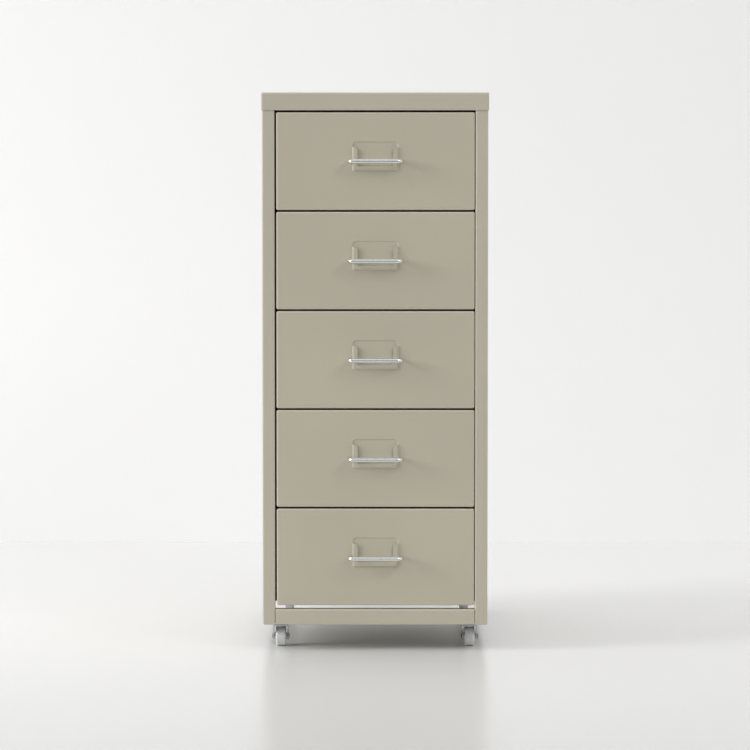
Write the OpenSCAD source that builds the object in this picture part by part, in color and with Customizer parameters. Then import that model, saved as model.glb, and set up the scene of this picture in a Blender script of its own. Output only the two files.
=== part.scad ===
// Narrow drawer cabinet of folded sheet steel: five drawers on ledge runners,
// a pressed label holder and a wire pull on each drawer, four swivel casters.
// Millimetres, +X right, fronts face -Y, +Z up. The origin is on the floor, at
// the middle of the whole object's box with its pulls.

/* [Body] */
// Width over the top cap
cabinet_w = 280; // [250:5:420]
// Depth of the top cap, front to back
cabinet_d = 430; // [400:5:600]
// Height from the floor to the top face
cabinet_h = 690; // [660:5:900]
// Thickness of the folded sheet
sheet = 0.8; // [0.6:0.1:1.2]
// Inside radius of a fold
fold_r = 1; // [0.6:0.1:2]
// Height of the cap's edges
cap_h = 22; // [18:1:40]
// Air between the cap's edges and the panels inside them
cap_fit = 0.1; // [0.05:0.05:0.4]
// Width of the front edge of a side panel
flange_w = 15.6; // [14:0.2:24]
// Depth of the fold behind that front edge
flange_return = 14; // [12:1:20]
// Width of the edges that hold the back panel
rear_flange_w = 14; // [12:1:20]

/* [Bottom rails] */
// Height of the front rail's face
rail_h = 19.4; // [18:0.2:40]
// Depth of the lip on top of a rail
rail_lip = 12; // [8:1:16]
// Depth of the foot that carries the casters
rail_foot = 60; // [56:1:80]
// Gap between the front rail and the side panels
rail_seam = 0.35; // [0.1:0.05:1]

/* [Drawers] */
// Number of drawers
drawer_count = 5; // [2:1:5]
// Gap between two drawer fronts
front_gap = 2.2; // [1.6:0.1:4]
// Gap above the top front
top_gap = 2.4; // [1.6:0.1:4]
// Gap under the lowest front
bottom_gap = 4.8; // [1.6:0.1:6]
// Both side gaps of a front together
side_gap = 2.9; // [2.4:0.1:6]
// How far the drawers sit to the right of the middle
side_shift = 0.6; // [-1:0.1:1]
// Depth of a front's folded edges
front_return = 12; // [8:1:16]
// Height of a tray's underside above the edge of its front
tray_lift = 5; // [4:0.5:8]
// Height of a tray's walls
tray_wall = 88; // [60:1:90]
// Height of a tray's back
tray_back = 76; // [50:1:78]
// Length of a tray
tray_l = 390; // [340:5:390]
// Full travel of a drawer
drawer_travel = 300; // [200:5:320]

/* [Runners] */
// Width of the ledge that a tray slides on
ledge_w = 26; // [24:1:27]
// Clear height inside a runner
runner_h = 16; // [14:1:20]
// Width of a runner's upper lip
runner_lip = 16; // [15:0.5:16]
// Air between a ledge and its tray
runner_air = 0.2; // [0.1:0.1:0.5]

/* [Label holder] */
// Width of the pressed field
label_w = 57.4; // [40:0.2:60]
// Height of the pressed field
label_h = 37.5; // [30:0.5:40]
// Distance from the field to the front's upper edge
label_top = 35.3; // [20:0.1:40]
// Depth of the field
label_depth = 0.8; // [0.4:0.1:1]
// Width of the lips at the sides and the bottom
lip_w = 6.8; // [4:0.2:8]
// Height of the side lips
lip_h = 30.1; // [20:0.1:31]
// How far the lips stand proud of the front
lip_proud = 1.8; // [1.4:0.1:2.4]

/* [Pull] */
// Distance between the pull's legs, on centre
pull_pitch = 64; // [64:1:128]
// Thickness of the wire
pull_wire = 5.5; // [5:0.5:8]
// How far the pull stands in front of the top cap
pull_reach = 22; // [18:1:40]
// Radius of the pull's bends, on the wire's centre
pull_bend = 6; // [5:0.5:12]

/* [Casters] */
// Diameter of a wheel
wheel_d = 25; // [22:1:25]
// Width of a wheel's tread
wheel_w = 12.2; // [10:0.2:13]
// Height from the floor to the rails
caster_h = 33; // [33:1:45]
// Distance from the swivel axis back to the axle
caster_trail = 9; // [7:0.5:10]
// Distance from a swivel axis to the side of the cap
caster_side = 22; // [20:1:30]
// Distance from a swivel axis to the outer face of its rail
caster_inset = 43; // [40:1:44]
// Width of a fork, outside
fork_w = 19.3; // [18:0.1:22]
// Thickness of a fork
fork_t = 1.2; // [1:0.1:1.6]
// Diameter of an axle
axle_d = 4; // [3:0.5:5]

/* [Hidden] */
$fn = 48;
fold_steps = 5;

SIDES = ["left", "right"];
ENDS = ["front", "rear"];
DRAWERS = [1:drawer_count];
CASTERS = [for (end = ENDS) for (side = SIDES) str(end, "_", side)];

paint = [0.69, 0.665, 0.605];
zinc = [0.76, 0.77, 0.77];
dark_steel = [0.3, 0.3, 0.31];
wheel_plastic = [0.86, 0.87, 0.87];

// Sheet screws, whose heads stand behind the cap, and the places along Y and Z that pieces share
sheet_screw_r = 2;
sheet_screw_head_r = 4;
sheet_screw_head_h = 2.4;
back_y = (cabinet_d + pull_reach - sheet_screw_head_h) / 2;
pull_front_y = back_y - cabinet_d - pull_reach;
cap_front_y = back_y - cabinet_d;
body_front_y = cap_front_y + sheet + cap_fit;
body_back_y = back_y - sheet - cap_fit;
panel_back_y = body_back_y - sheet;
cap_z = cabinet_h - cap_h;
body_top_z = cabinet_h - sheet;
rail_top_z = caster_h + rail_h;

// Widths
body_half = cabinet_w / 2 - sheet - cap_fit;
inner_half = body_half - sheet;
opening_half = body_half - flange_w;
front_w = 2 * opening_half - side_gap;
tray_half = front_w / 2 - 3;

// Drawer fronts share the height between the rail and the cap
front_h = (cap_z - top_gap - rail_top_z - bottom_gap - (drawer_count - 1) * front_gap)
    / drawer_count;
function front_z(i) = cap_z - top_gap - i * front_h - (i - 1) * front_gap;

// Runners
runner_t = 1;
runner_start_y = body_front_y + flange_return + 1;
runner_end_y = panel_back_y - 8;
function ledge_z(i) = front_z(i) + tray_lift - runner_air;

// A tray's ears run inside the runners and meet their stops
tray_back_y = body_front_y + sheet + tray_l;
ear_half = tray_half + 10;
ear_z = 3;
ear_h = 10;
stop_air = 0.5;
stop_y = tray_back_y - sheet - drawer_travel - stop_air - runner_t;

// Join between the pressed field and the sheet round it
label_border = 0.3;

// Pull
pull_y = pull_front_y + pull_wire / 2;
function pull_z(i) = front_z(i) + front_h / 2;
screw_r = 1.5;
screw_fit = 0.06;
screw_head_r = 2.9;
screw_head_h = 1.9;
screw_grip = 5;

// Casters
caster_x = cabinet_w / 2 - caster_side;
axle_z = wheel_d / 2;
crown_z = wheel_d + 3;
swivel_air = 0.05;
swivel_pin_r = 3;
thread_r = 4;
thread_top_z = caster_h + 12;
nut_r = 7.5;
washer_r = 8;
washer_t = 1.2;
nut_h = 6.5;
hub_half = fork_w / 2 - fork_t - 0.5;
running_fit = 0.06;
function caster_pos(c) = [
    caster_x * (c == "front_left" || c == "rear_left" ? -1 : 1),
    c == "front_left" || c == "front_right" ? body_front_y + caster_inset : panel_back_y - sheet - caster_inset,
    0
];

function unit(v) = v / norm(v);
function left_of(v) = [-v[1], v[0]];
function turned(v, angle) = [v[0] * cos(angle) - v[1] * sin(angle), v[0] * sin(angle) + v[1] * cos(angle)];
function turn_between(u, v) = atan2(u[0] * v[1] - u[1] * v[0], u * v);

// The points of one fold of a strip, on its near side or on its far side
function fold_arc(path, i, t, far) = let (
    u = unit(path[i] - path[i - 1]),
    v = unit(path[i + 1] - path[i]),
    angle = turn_between(u, v),
    hand = sign(angle),
    near_r = hand > 0 ? fold_r + t : fold_r,
    far_r = hand > 0 ? fold_r : fold_r + t,
    centre = path[i] + near_r * (hand * left_of(u) - tan(abs(angle) / 2) * u)
) [for (k = [0:fold_steps]) centre + (far ? far_r : near_r) * turned(-hand * left_of(u), angle * k / fold_steps)];

// Cross-section of a folded strip: the path is one face's line, and the thickness lies to its left
module folded(path, t = sheet) {
    last = len(path) - 1;
    start_step = t * left_of(unit(path[1] - path[0]));
    end_step = t * left_of(unit(path[last] - path[last - 1]));
    polygon(concat(
        [path[0]],
        [for (i = [1:1:last - 1]) each fold_arc(path, i, t, false)],
        [path[last], path[last] + end_step],
        [for (i = [last - 1:-1:1]) each [for (k = [fold_steps:-1:0]) fold_arc(path, i, t, true)[k]]],
        [path[0] + start_step]
    ));
}

// Extrusions of a cross-section drawn in XZ, along Y, and of one drawn in YZ, along X
module along_y(from, to) translate([0, to, 0]) rotate([90, 0, 0]) linear_extrude(to - from) children();
module along_x(from, to) translate([from, 0, 0]) rotate([90, 0, 90]) linear_extrude(to - from) children();

// A cylinder along Y or X that starts at a point
module rod_y(start, r, length) translate(start) rotate([-90, 0, 0]) cylinder(r = r, h = length);
module rod_x(start, r, length) translate(start) rotate([0, 90, 0]) cylinder(r = r, h = length);

// An upright box between two corners
module block(low, high) translate(low) cube(high - low);

// Left side panel, seen from above: rear edge, wall, front edge and its fold
module side_panel_at_left() {
    difference() {
        translate([0, 0, caster_h]) linear_extrude(body_top_z - caster_h) folded([
            [-body_half + rear_flange_w, body_back_y],
            [-body_half, body_back_y],
            [-body_half, body_front_y],
            [-opening_half, body_front_y],
            [-opening_half, body_front_y + flange_return]
        ]);
        for (z = back_screw_heights()) rod_y([-back_screw_x(), panel_back_y - 1, z], sheet_screw_r + 0.1, 3);
        rod_x([-opening_half - 2, rail_screw_y(), rail_screw_z()], sheet_screw_r + 0.1, 4);
    }
}

module side_panel(side) color(paint) mirror([side == "right" ? 1 : 0, 0, 0]) side_panel_at_left();

function back_screw_x() = body_half - rear_flange_w / 2;
function back_screw_heights() = [
    rail_top_z - rail_h / 2,
    (rail_top_z + cap_z) / 2,
    cap_z - 28,
    cabinet_h - cap_h / 2
];
function rail_screw_y() = body_front_y + flange_return - 5;
function rail_screw_z() = caster_h + rail_h / 2;

// Flat back panel, held inside the rear edges of the side panels
module back_panel() color(paint) difference() {
    block(
        [-inner_half + fold_r + 0.2, panel_back_y - sheet, caster_h],
        [inner_half - fold_r - 0.2, panel_back_y, body_top_z]
    );
    for (x = [-1, 1] * back_screw_x(), z = back_screw_heights())
        rod_y([x, panel_back_y - 2, z], sheet_screw_r + 0.1, 3);
}

// Cap: a shallow pan over the body, with a lip behind its front edge
module top_cap() color(paint) difference() {
    union() {
        difference() {
            block([-cabinet_w / 2, cap_front_y, cap_z], [cabinet_w / 2, back_y, cabinet_h]);
            block(
                [-cabinet_w / 2 + sheet, cap_front_y + sheet, cap_z - 1],
                [cabinet_w / 2 - sheet, back_y - sheet, body_top_z]
            );
        }
        block(
            [-opening_half + 0.5, cap_front_y + sheet / 2, cap_z],
            [opening_half - 0.5, cap_front_y + 10, cap_z + sheet]
        );
    }
    for (x = [-1, 1] * back_screw_x())
        rod_y([x, back_y - 2, cabinet_h - cap_h / 2], sheet_screw_r + 0.1, 3);
}

// Cross-section of the front rail: lip, face, foot and the foot's upturned edge
module rail_section() folded([
    [body_front_y + rail_lip, rail_top_z],
    [body_front_y, rail_top_z],
    [body_front_y, caster_h],
    [body_front_y + rail_foot, caster_h],
    [body_front_y + rail_foot, caster_h + 6]
]);

// Holes for the caster stems
module stem_holes(end) for (side = SIDES)
    translate(caster_pos(str(end, "_", side)) + [0, 0, caster_h - 1]) cylinder(r = thread_r + 0.3, h = 3);

// Front rail: its face fits between the side panels, its foot widens behind them
module front_rail() color(paint) {
    face_half = opening_half - rail_seam;
    difference() {
        union() {
            along_x(-face_half, face_half) rail_section();
            for (side = [-1, 1]) {
                block(
                    [side * (face_half - sheet / 2) - sheet / 2, body_front_y + sheet / 2, caster_h + sheet / 2],
                    [side * (face_half - sheet / 2) + sheet / 2, body_front_y + rail_lip, rail_top_z - sheet / 2]
                );
                block(
                    [side > 0 ? face_half - 1 : -inner_half + 0.1, body_front_y + flange_return + 1, caster_h],
                    [side > 0 ? inner_half - 0.1 : -face_half + 1, body_front_y + rail_foot - 2, caster_h + sheet]
                );
                block(
                    [side * (inner_half - 0.1 - sheet / 2) - sheet / 2, body_front_y + flange_return + 1, caster_h],
                    [side * (inner_half - 0.1 - sheet / 2) + sheet / 2, body_front_y + rail_foot - 2, caster_h + 14]
                );
            }
        }
        stem_holes("front");
        for (side = [-1, 1])
            rod_x([side * face_half - 2, rail_screw_y(), rail_screw_z()], sheet_screw_r + 0.1, 4);
    }
}

// Rear rail: the same section turned round, in front of the back panel
module rear_rail() color(paint) {
    rear_y = panel_back_y - sheet;
    difference() {
        union() {
            along_x(-inner_half + 1, inner_half - 1)
                translate([rear_y + body_front_y, 0]) mirror([1, 0]) rail_section();
            for (side = [-1, 1]) block(
                [side * (inner_half - 0.6 - sheet / 2) - sheet / 2, rear_y - rail_foot + 2, caster_h],
                [side * (inner_half - 0.6 - sheet / 2) + sheet / 2, rear_y - 2, caster_h + 14]
            );
        }
        stem_holes("rear");
        for (x = [-1, 1] * back_screw_x()) rod_y([x, rear_y - 2, back_screw_heights()[0]], sheet_screw_r + 0.1, 4);
    }
}

// Pan-head sheet screw along +Y, its head's seat at the origin
module sheet_screw() {
    rod_y([0, 0, 0], sheet_screw_head_r, sheet_screw_head_h);
    rod_y([0, -9, 0], sheet_screw_r, 9.1);
}

// Screws through the side panels' rear edges, the back panel and the cap
module back_screws() color(zinc)
    for (x = [-1, 1] * back_screw_x(), z = back_screw_heights())
        translate([x, z > cap_z ? back_y : body_back_y, z]) sheet_screw();

// Screws that hold the front rail's ends to the side panels
module rail_screws() color(zinc) for (side = [-1, 1])
    translate([side * (opening_half - rail_seam - sheet), rail_screw_y(), rail_screw_z()])
        rotate([0, 0, 90 * side]) sheet_screw();

// Runner for the left side: upper lip, web on the wall, ledge under the tray
module runner_at_left(i) {
    z = ledge_z(i);
    along_y(runner_start_y, runner_end_y) folded([
        [-inner_half + runner_lip, z + runner_h + runner_t],
        [-inner_half, z + runner_h + runner_t],
        [-inner_half, z - runner_t],
        [-inner_half + ledge_w, z - runner_t]
    ], runner_t);
    block(
        [-inner_half + 6, stop_y, z + ear_z],
        [-inner_half + runner_lip - 1, stop_y + runner_t, z + runner_h + runner_t / 2]
    );
}

module runner(i, side) color(paint) mirror([side == "right" ? 1 : 0, 0, 0]) runner_at_left(i);

// Raised rim of the label holder: a flat lip on a low wall, at both sides and below
module label_rim() {
    rim_low = label_h - lip_h;
    difference() {
        block([-label_w / 2, -lip_proud, 0], [label_w / 2, label_depth + sheet / 2, lip_h]);
        block(
            [-label_w / 2 + sheet, -lip_proud + sheet, sheet],
            [label_w / 2 - sheet, label_depth + sheet, lip_h + 1]
        );
        block([-label_w / 2 + lip_w, -lip_proud - 1, rim_low], [label_w / 2 - lip_w, sheet, lip_h + 1]);
    }
}

// Front of drawer i: a shallow pan with the pressed label holder and the pull's holes
module drawer_front(i) color(paint) {
    z = front_z(i);
    label_z = z + front_h - label_top - label_h;
    translate([side_shift, body_front_y, 0]) difference() {
        union() {
            difference() {
                block([-front_w / 2, 0, z], [front_w / 2, front_return, z + front_h]);
                block(
                    [-front_w / 2 + sheet, sheet, z + sheet],
                    [front_w / 2 - sheet, front_return + 1, z + front_h - sheet]
                );
                block([-label_w / 2, -1, label_z], [label_w / 2, label_depth, label_z + label_h]);
            }
            block(
                [-label_w / 2 - label_border, label_depth, label_z - label_border],
                [label_w / 2 + label_border, label_depth + sheet, label_z + label_h + label_border]
            );
            translate([0, 0, label_z]) label_rim();
        }
        for (x = [-1, 1] * pull_pitch / 2)
            rod_y([x, -1, pull_z(i)], screw_r + 0.2, sheet + label_depth + 2);
    }
}

// Tray of drawer i: bottom and two walls in one folded sheet, with ears at its back corners
module drawer_tray(i) color(paint) {
    z = front_z(i) + tray_lift;
    front_y = body_front_y + front_return + 0.2;
    translate([side_shift, 0, 0]) {
        along_y(front_y, tray_back_y) folded([
            [-tray_half + 6, z + tray_wall],
            [-tray_half, z + tray_wall],
            [-tray_half, z],
            [tray_half, z],
            [tray_half, z + tray_wall],
            [tray_half - 6, z + tray_wall]
        ]);
        for (side = [-1, 1]) {
            // Ear at the back, which stops the drawer and keeps it from tipping
            block(
                [side > 0 ? tray_half - sheet : -ear_half, tray_back_y - sheet, z + ear_z],
                [side > 0 ? ear_half : -tray_half + sheet, tray_back_y, z + ear_z + ear_h]
            );
            // Tongue that joins the wall to the front
            block(
                [side * (tray_half - sheet / 2) - sheet / 2, body_front_y + sheet, z + 4],
                [side * (tray_half - sheet / 2) + sheet / 2, front_y + 1, z + tray_wall - 4]
            );
        }
    }
}

// Back of drawer i: a plate with side edges, inside the tray
module drawer_back(i) color(paint) {
    z = front_z(i) + tray_lift + sheet + fold_r;
    half = tray_half - sheet;
    translate([side_shift, 0, z]) linear_extrude(tray_back) folded([
        [half, tray_back_y - 14],
        [half, tray_back_y - 2],
        [-half, tray_back_y - 2],
        [-half, tray_back_y - 14]
    ]);
}

// Wire pull of drawer i: a bar between two quarter bends and two legs
module pull(i) color(zinc) translate([side_shift, 0, pull_z(i)]) {
    wire_r = pull_wire / 2;
    leg_l = body_front_y - pull_y - pull_bend;
    bar_half = pull_pitch / 2 - pull_bend;
    rod_x([-bar_half, pull_y, 0], wire_r, 2 * bar_half);
    for (side = [0, 1]) mirror([side, 0, 0]) {
        translate([bar_half, pull_y + pull_bend, 0]) rotate([0, 0, -90])
            rotate_extrude(angle = 90) translate([pull_bend, 0]) circle(wire_r);
        difference() {
            rod_y([pull_pitch / 2, pull_y + pull_bend, 0], wire_r, leg_l);
            rod_y([pull_pitch / 2, body_front_y - screw_grip, 0], screw_r + screw_fit, screw_grip + 1);
        }
    }
}

// Screws of pull i, from inside the front into the legs
module pull_screws(i) color(zinc) for (x = [-1, 1] * pull_pitch / 2)
    translate([side_shift + x, body_front_y, pull_z(i)]) {
        rod_y([0, -screw_grip + 0.4, 0], screw_r, screw_grip + sheet);
        rod_y([0, sheet, 0], screw_head_r, screw_head_h);
    }

// Caster stem: threaded post, collar and the swivel pin with its head
module caster_stem() color(zinc) {
    translate([0, 0, caster_h - 0.1]) cylinder(r = thread_r, h = thread_top_z - caster_h + 0.1);
    translate([0, 0, caster_h - 2]) cylinder(r = nut_r, h = 2, $fn = 6);
    translate([0, 0, crown_z + swivel_air]) cylinder(r = 8.5, h = caster_h - 1.5 - crown_z - swivel_air);
    translate([0, 0, crown_z - fork_t - 1.4]) cylinder(r = swivel_pin_r, h = fork_t + 2);
    translate([0, 0, crown_z - fork_t - 1.6]) cylinder(r = 5, h = 1.6 - swivel_air);
}

// Nuts and washers that hold the caster stems on the rails' feet
module caster_nuts() color(zinc) for (c = CASTERS)
    translate(caster_pos(c) + [0, 0, caster_h + sheet]) difference() {
        union() {
            cylinder(r = washer_r, h = washer_t);
            translate([0, 0, washer_t]) cylinder(r = nut_r, h = nut_h, $fn = 6);
        }
        translate([0, 0, -1]) cylinder(r = thread_r + running_fit, h = washer_t + nut_h + 2);
    }

// Fork: a bent strip over the wheel, tapered towards the axle
module caster_fork() color(zinc) difference() {
    intersection() {
        along_y(-11, caster_trail + 7) folded([
            [fork_w / 2, axle_z - 6],
            [fork_w / 2, crown_z],
            [-fork_w / 2, crown_z],
            [-fork_w / 2, axle_z - 6]
        ], fork_t);
        along_x(-fork_w, fork_w) hull() {
            translate([caster_trail, axle_z]) circle(5.2, $fn = 32);
            translate([-10, crown_z - 5]) square([16, 5]);
            translate([-6, crown_z - 9]) square([18, 9]);
        }
    }
    translate([0, 0, crown_z - 3]) cylinder(r = swivel_pin_r + swivel_air, h = 6);
    rod_x([-fork_w, caster_trail, axle_z], axle_d / 2 + 0.02, 2 * fork_w);
}

// Axle: a pin with a head outside each leg of the fork
module caster_axle() color(dark_steel) {
    rod_x([-fork_w / 2 - 0.5, caster_trail, axle_z], axle_d / 2, fork_w + 1);
    for (side = [0, 1]) mirror([side, 0, 0])
        rod_x([fork_w / 2, caster_trail, axle_z], axle_d / 2 + 1.2, 1.1);
}

// Wheel: tread, thin web and a hub that spans the fork
module caster_wheel() color(wheel_plastic) translate([0, caster_trail, axle_z]) rotate([0, 90, 0]) {
    half = wheel_w / 2;
    rim_r = wheel_d / 2 - 3;
    hub_r = axle_d / 2 + 2.2;
    bore_r = axle_d / 2 + running_fit;
    rotate_extrude() polygon([
        [bore_r, -hub_half], [hub_r, -hub_half], [hub_r, -2], [rim_r, -2],
        [rim_r, -half], [wheel_d / 2 - 1, -half], [wheel_d / 2, -half + 1],
        [wheel_d / 2, half - 1], [wheel_d / 2 - 1, half], [rim_r, half],
        [rim_r, 2], [hub_r, 2], [hub_r, hub_half], [bore_r, hub_half]
    ]);
}

for (side = SIDES)
    side_panel(side);
back_panel();
top_cap();
front_rail();
rear_rail();
back_screws();
rail_screws();
caster_nuts();
for (i = DRAWERS) {
    for (side = SIDES)
        runner(i, side);
    drawer_front(i);
    drawer_tray(i);
    drawer_back(i);
    pull(i);
    pull_screws(i);
}
for (c = CASTERS) translate(caster_pos(c)) {
    caster_stem();
    caster_fork();
    caster_axle();
    caster_wheel();
}
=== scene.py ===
# %% [markdown]
# # A narrow drawer cabinet, folded from sheet steel
#
# The real cabinet is made of thin steel: every panel, rail and drawer starts as a flat sheet
# of 0.8 mm, is folded at a press brake, and is then powder coated. Only the pulls, screws and
# casters are something else. This lesson makes those pieces with numpy, as surfaces of two
# parameters, round a fixed CAD frame that says where everything is.
#
# The first cell loads that frame. Every measure below is in metres.

# %% Load the frame
import math

import bpy
import numpy as np
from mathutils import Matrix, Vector


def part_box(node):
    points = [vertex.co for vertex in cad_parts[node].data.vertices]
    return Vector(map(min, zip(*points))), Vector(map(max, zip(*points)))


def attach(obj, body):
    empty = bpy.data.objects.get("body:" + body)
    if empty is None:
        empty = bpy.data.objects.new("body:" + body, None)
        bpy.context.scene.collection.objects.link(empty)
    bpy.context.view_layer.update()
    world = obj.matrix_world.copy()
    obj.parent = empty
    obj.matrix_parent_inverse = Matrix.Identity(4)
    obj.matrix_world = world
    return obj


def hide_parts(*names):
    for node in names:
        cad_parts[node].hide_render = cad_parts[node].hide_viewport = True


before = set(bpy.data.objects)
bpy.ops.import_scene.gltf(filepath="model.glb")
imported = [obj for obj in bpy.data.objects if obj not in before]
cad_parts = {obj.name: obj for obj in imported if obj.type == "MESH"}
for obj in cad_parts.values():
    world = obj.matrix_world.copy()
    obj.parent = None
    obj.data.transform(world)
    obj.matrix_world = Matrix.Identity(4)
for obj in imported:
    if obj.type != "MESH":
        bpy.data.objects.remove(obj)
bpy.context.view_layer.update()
MM = 0.001

# %% [markdown]
# ## Places that the pieces share
#
# The frame's boxes already hold the width of the body, the line of the drawer fronts and the
# height of each drawer, so they are read from there. Only what a box can't say, such as the
# thickness of the sheet and the radius of a fold, is written here as a number.

# %% Shared places
SHEET = 0.8 * MM
FOLD = 1.8 * MM                                    # outside radius of a fold
DRAWERS = range(1, 6)
CASTERS = ("front_left", "front_right", "rear_left", "rear_right")

side_low, side_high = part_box("side_panel_left")
cap_low, cap_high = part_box("top_cap")
rail_low, rail_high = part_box("front_rail")
first_low, first_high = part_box("drawer_front_1")
front_y = side_low.y                               # plane of the drawer fronts
body_half = -side_low.x
opening_half = -side_high.x
drawer_x = (first_low.x + first_high.x) / 2
print(f"front plane y = {front_y:.4f}, body half width {body_half:.4f}, "
      f"opening half width {opening_half:.4f}")

# %% [markdown]
# ## Camera
#
# A long lens from four metres away keeps the upright edges almost upright and shows next to
# nothing of the sides. The camera stands a little below the cabinet's top, slightly right of
# the middle, and looks down by three and a half degrees, so that the whole cabinet sits near the
# middle of a square view.

# %% Camera
EYE = Vector((0.021, front_y - 4.2, 0.594))
LOOKS_AT = Vector((0.0, front_y, 0.3427))
camera_data = bpy.data.cameras.new("camera")
camera_data.sensor_width = 36
camera_data.lens = 163.9
camera_data.clip_end = 30


def add_object(name, data):
    """A new object for a mesh, a light or a camera, linked to the scene."""
    thing = bpy.data.objects.new(name, data)
    bpy.context.scene.collection.objects.link(thing)
    return thing


def aim(thing, place, target):
    """Puts a camera or a light at a place and turns it to its target."""
    thing.location = place
    thing.rotation_euler = (target - place).to_track_quat("-Z", "Y").to_euler()


camera = add_object("camera", camera_data)
aim(camera, EYE, LOOKS_AT)
bpy.context.scene.camera = camera
bpy.context.scene.view_settings.view_transform = "Standard"
print(f"camera {(LOOKS_AT - EYE).length:.2f} m away, lens {camera_data.lens:.1f} mm")

# %% [markdown]
# ## Node helpers
#
# A material is a small graph. These helpers keep the graphs short to write: one makes a
# Principled shader, one places a node and joins its inputs, and one gives noise on Object
# coordinates. Object coordinates are metres here, because every piece sits at the origin, so a
# noise scale of 1000 has features of about a millimetre.

# %% Node helpers
def linear(red, green, blue):
    """A screen colour from 0 to 255 as the linear colour that a shader wants."""
    screen = np.array([red, green, blue]) / 255
    light = np.where(screen <= 0.04045, screen / 12.92, ((screen + 0.055) / 1.055) ** 2.4)
    return (*light.tolist(), 1.0)


def new_material(name):
    """An empty node material with its Principled shader joined to the output."""
    material = bpy.data.materials.new(name)
    material.use_nodes = True
    material.node_tree.nodes.clear()
    shader = add_node(material, "ShaderNodeBsdfPrincipled")
    output = add_node(material, "ShaderNodeOutputMaterial")
    material.node_tree.links.new(shader.outputs["BSDF"], output.inputs["Surface"])
    return material, shader


def add_node(material, kind, **inputs):
    """A node whose inputs are set to numbers or joined to other nodes' outputs."""
    node = material.node_tree.nodes.new(kind)
    for key, value in inputs.items():
        socket = node.inputs[int(key[1:])] if key[1:].isdigit() else node.inputs[key.replace("_", " ")]
        if isinstance(value, bpy.types.NodeSocket):
            material.node_tree.links.new(value, socket)
        else:
            socket.default_value = value
    return node


def noise(material, scale, detail=2.0, stretch=(1, 1, 1)):
    """The grey output of a noise on Object coordinates, stretched along the axes."""
    place = add_node(material, "ShaderNodeTexCoord").outputs["Object"]
    mapping = add_node(material, "ShaderNodeMapping", Vector=place, Scale=stretch)
    node = add_node(material, "ShaderNodeTexNoise", Vector=mapping.outputs[0], Scale=scale, Detail=detail)
    return node.outputs[0]


def ranged(material, value, low, high, start=0.3, end=0.7):
    """A value from start to end mapped to low to high."""
    node = add_node(material, "ShaderNodeMapRange", Value=value)
    for key, number in zip(("From Min", "From Max", "To Min", "To Max"), (start, end, low, high)):
        node.inputs[key].default_value = number
    return node.outputs[0]


def mixed(material, factor, first, second):
    """Two colours mixed by a factor."""
    node = material.node_tree.nodes.new("ShaderNodeMix")
    node.data_type = "RGBA"
    for socket, value in ((node.inputs[0], factor), (node.inputs[6], first), (node.inputs[7], second)):
        if isinstance(value, bpy.types.NodeSocket):
            material.node_tree.links.new(value, socket)
        else:
            socket.default_value = value
    return node.outputs[2]


def bump(material, shader, height, strength, distance):
    """Bump from a height, joined to the shader's normal."""
    node = add_node(material, "ShaderNodeBump", Height=height, Strength=strength, Distance=distance)
    material.node_tree.links.new(node.outputs[0], shader.inputs["Normal"])


# %% [markdown]
# ## Powder coat
#
# Powder coat is sprayed dry and melted in an oven. It flows into a satin film with a faint
# orange peel, a few millimetres from crest to crest, and a fine grain in it. Three noises make
# the peel, the grain and a slow drift of tone over a panel. A vertex attribute, which each
# sheet piece carries, mixes a lighter colour into the folds and rims: a painted highlight
# along the edges.

# %% Powder coat
def powder_coat(name, colour, light_edge):
    """Satin paint with drift and grain, and a painted edge highlight: 55 % highlight colour at weight 1."""
    material, shader = new_material(name)
    drift = ranged(material, noise(material, 6, 1), 0.0, 1.0)
    grain = ranged(material, noise(material, 1900, 1), 0.0, 1.0, 0.35, 0.65)
    darker = tuple(c * 0.972 for c in colour[:3]) + (1.0,)
    lighter = tuple(min(1.0, c * 1.025) for c in colour[:3]) + (1.0,)
    slow = mixed(material, drift, darker, lighter)
    speck = tuple(c * 0.93 for c in colour[:3]) + (1.0,)
    grainy = mixed(material, ranged(material, grain, 0.0, 0.22, 0.0, 1.0), slow, speck)
    # Painted highlight: a lighter colour mixed in along folds and rims by the edge weight.
    edge = add_node(material, "ShaderNodeAttribute")
    edge.attribute_name = "edge"
    highlight_share = ranged(material, edge.outputs["Fac"], 0.0, 0.55, 0.0, 1.0)
    material.node_tree.links.new(mixed(material, highlight_share, grainy, light_edge), shader.inputs["Base Color"])
    peel = noise(material, 420, 2)
    material.node_tree.links.new(ranged(material, peel, 0.36, 0.46), shader.inputs["Roughness"])
    height = add_node(material, "ShaderNodeMath", _0=peel, _1=ranged(material, grain, 0.0, 0.18, 0.0, 1.0))
    bump(material, shader, height.outputs[0], 0.22, 0.00012)
    return material


# The second colour of each paint is its painted highlight on folds and rims.
body_paint = powder_coat("body_paint", linear(186, 179, 163), linear(205, 199, 183))
drawer_paint = powder_coat("drawer_paint", linear(185, 178, 160), linear(205, 199, 182))

# %% [markdown]
# ## Plated and bare metals
#
# The pulls are bright plated wire: almost a mirror, with a little haze and fine drawing lines
# along the wire. Forks, nuts and screws are zinc plated, greyer, with a cloudy crystal pattern.
# The caster axles are given a dark grey steel colour.

# %% Metals
def bright_plate(name):
    """A near mirror with a faint haze, and drawing lines that run along X."""
    material, shader = new_material(name)
    shader.inputs["Metallic"].default_value = 1.0
    haze = ranged(material, noise(material, 260, 3), 0.0, 1.0)
    tint = mixed(material, haze, linear(216, 221, 219), linear(228, 232, 230))
    material.node_tree.links.new(tint, shader.inputs["Base Color"])
    lines = noise(material, 900, 2, stretch=(0.04, 1, 1))
    material.node_tree.links.new(ranged(material, lines, 0.05, 0.1), shader.inputs["Roughness"])
    bump(material, shader, lines, 0.05, 0.00004)
    return material


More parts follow.
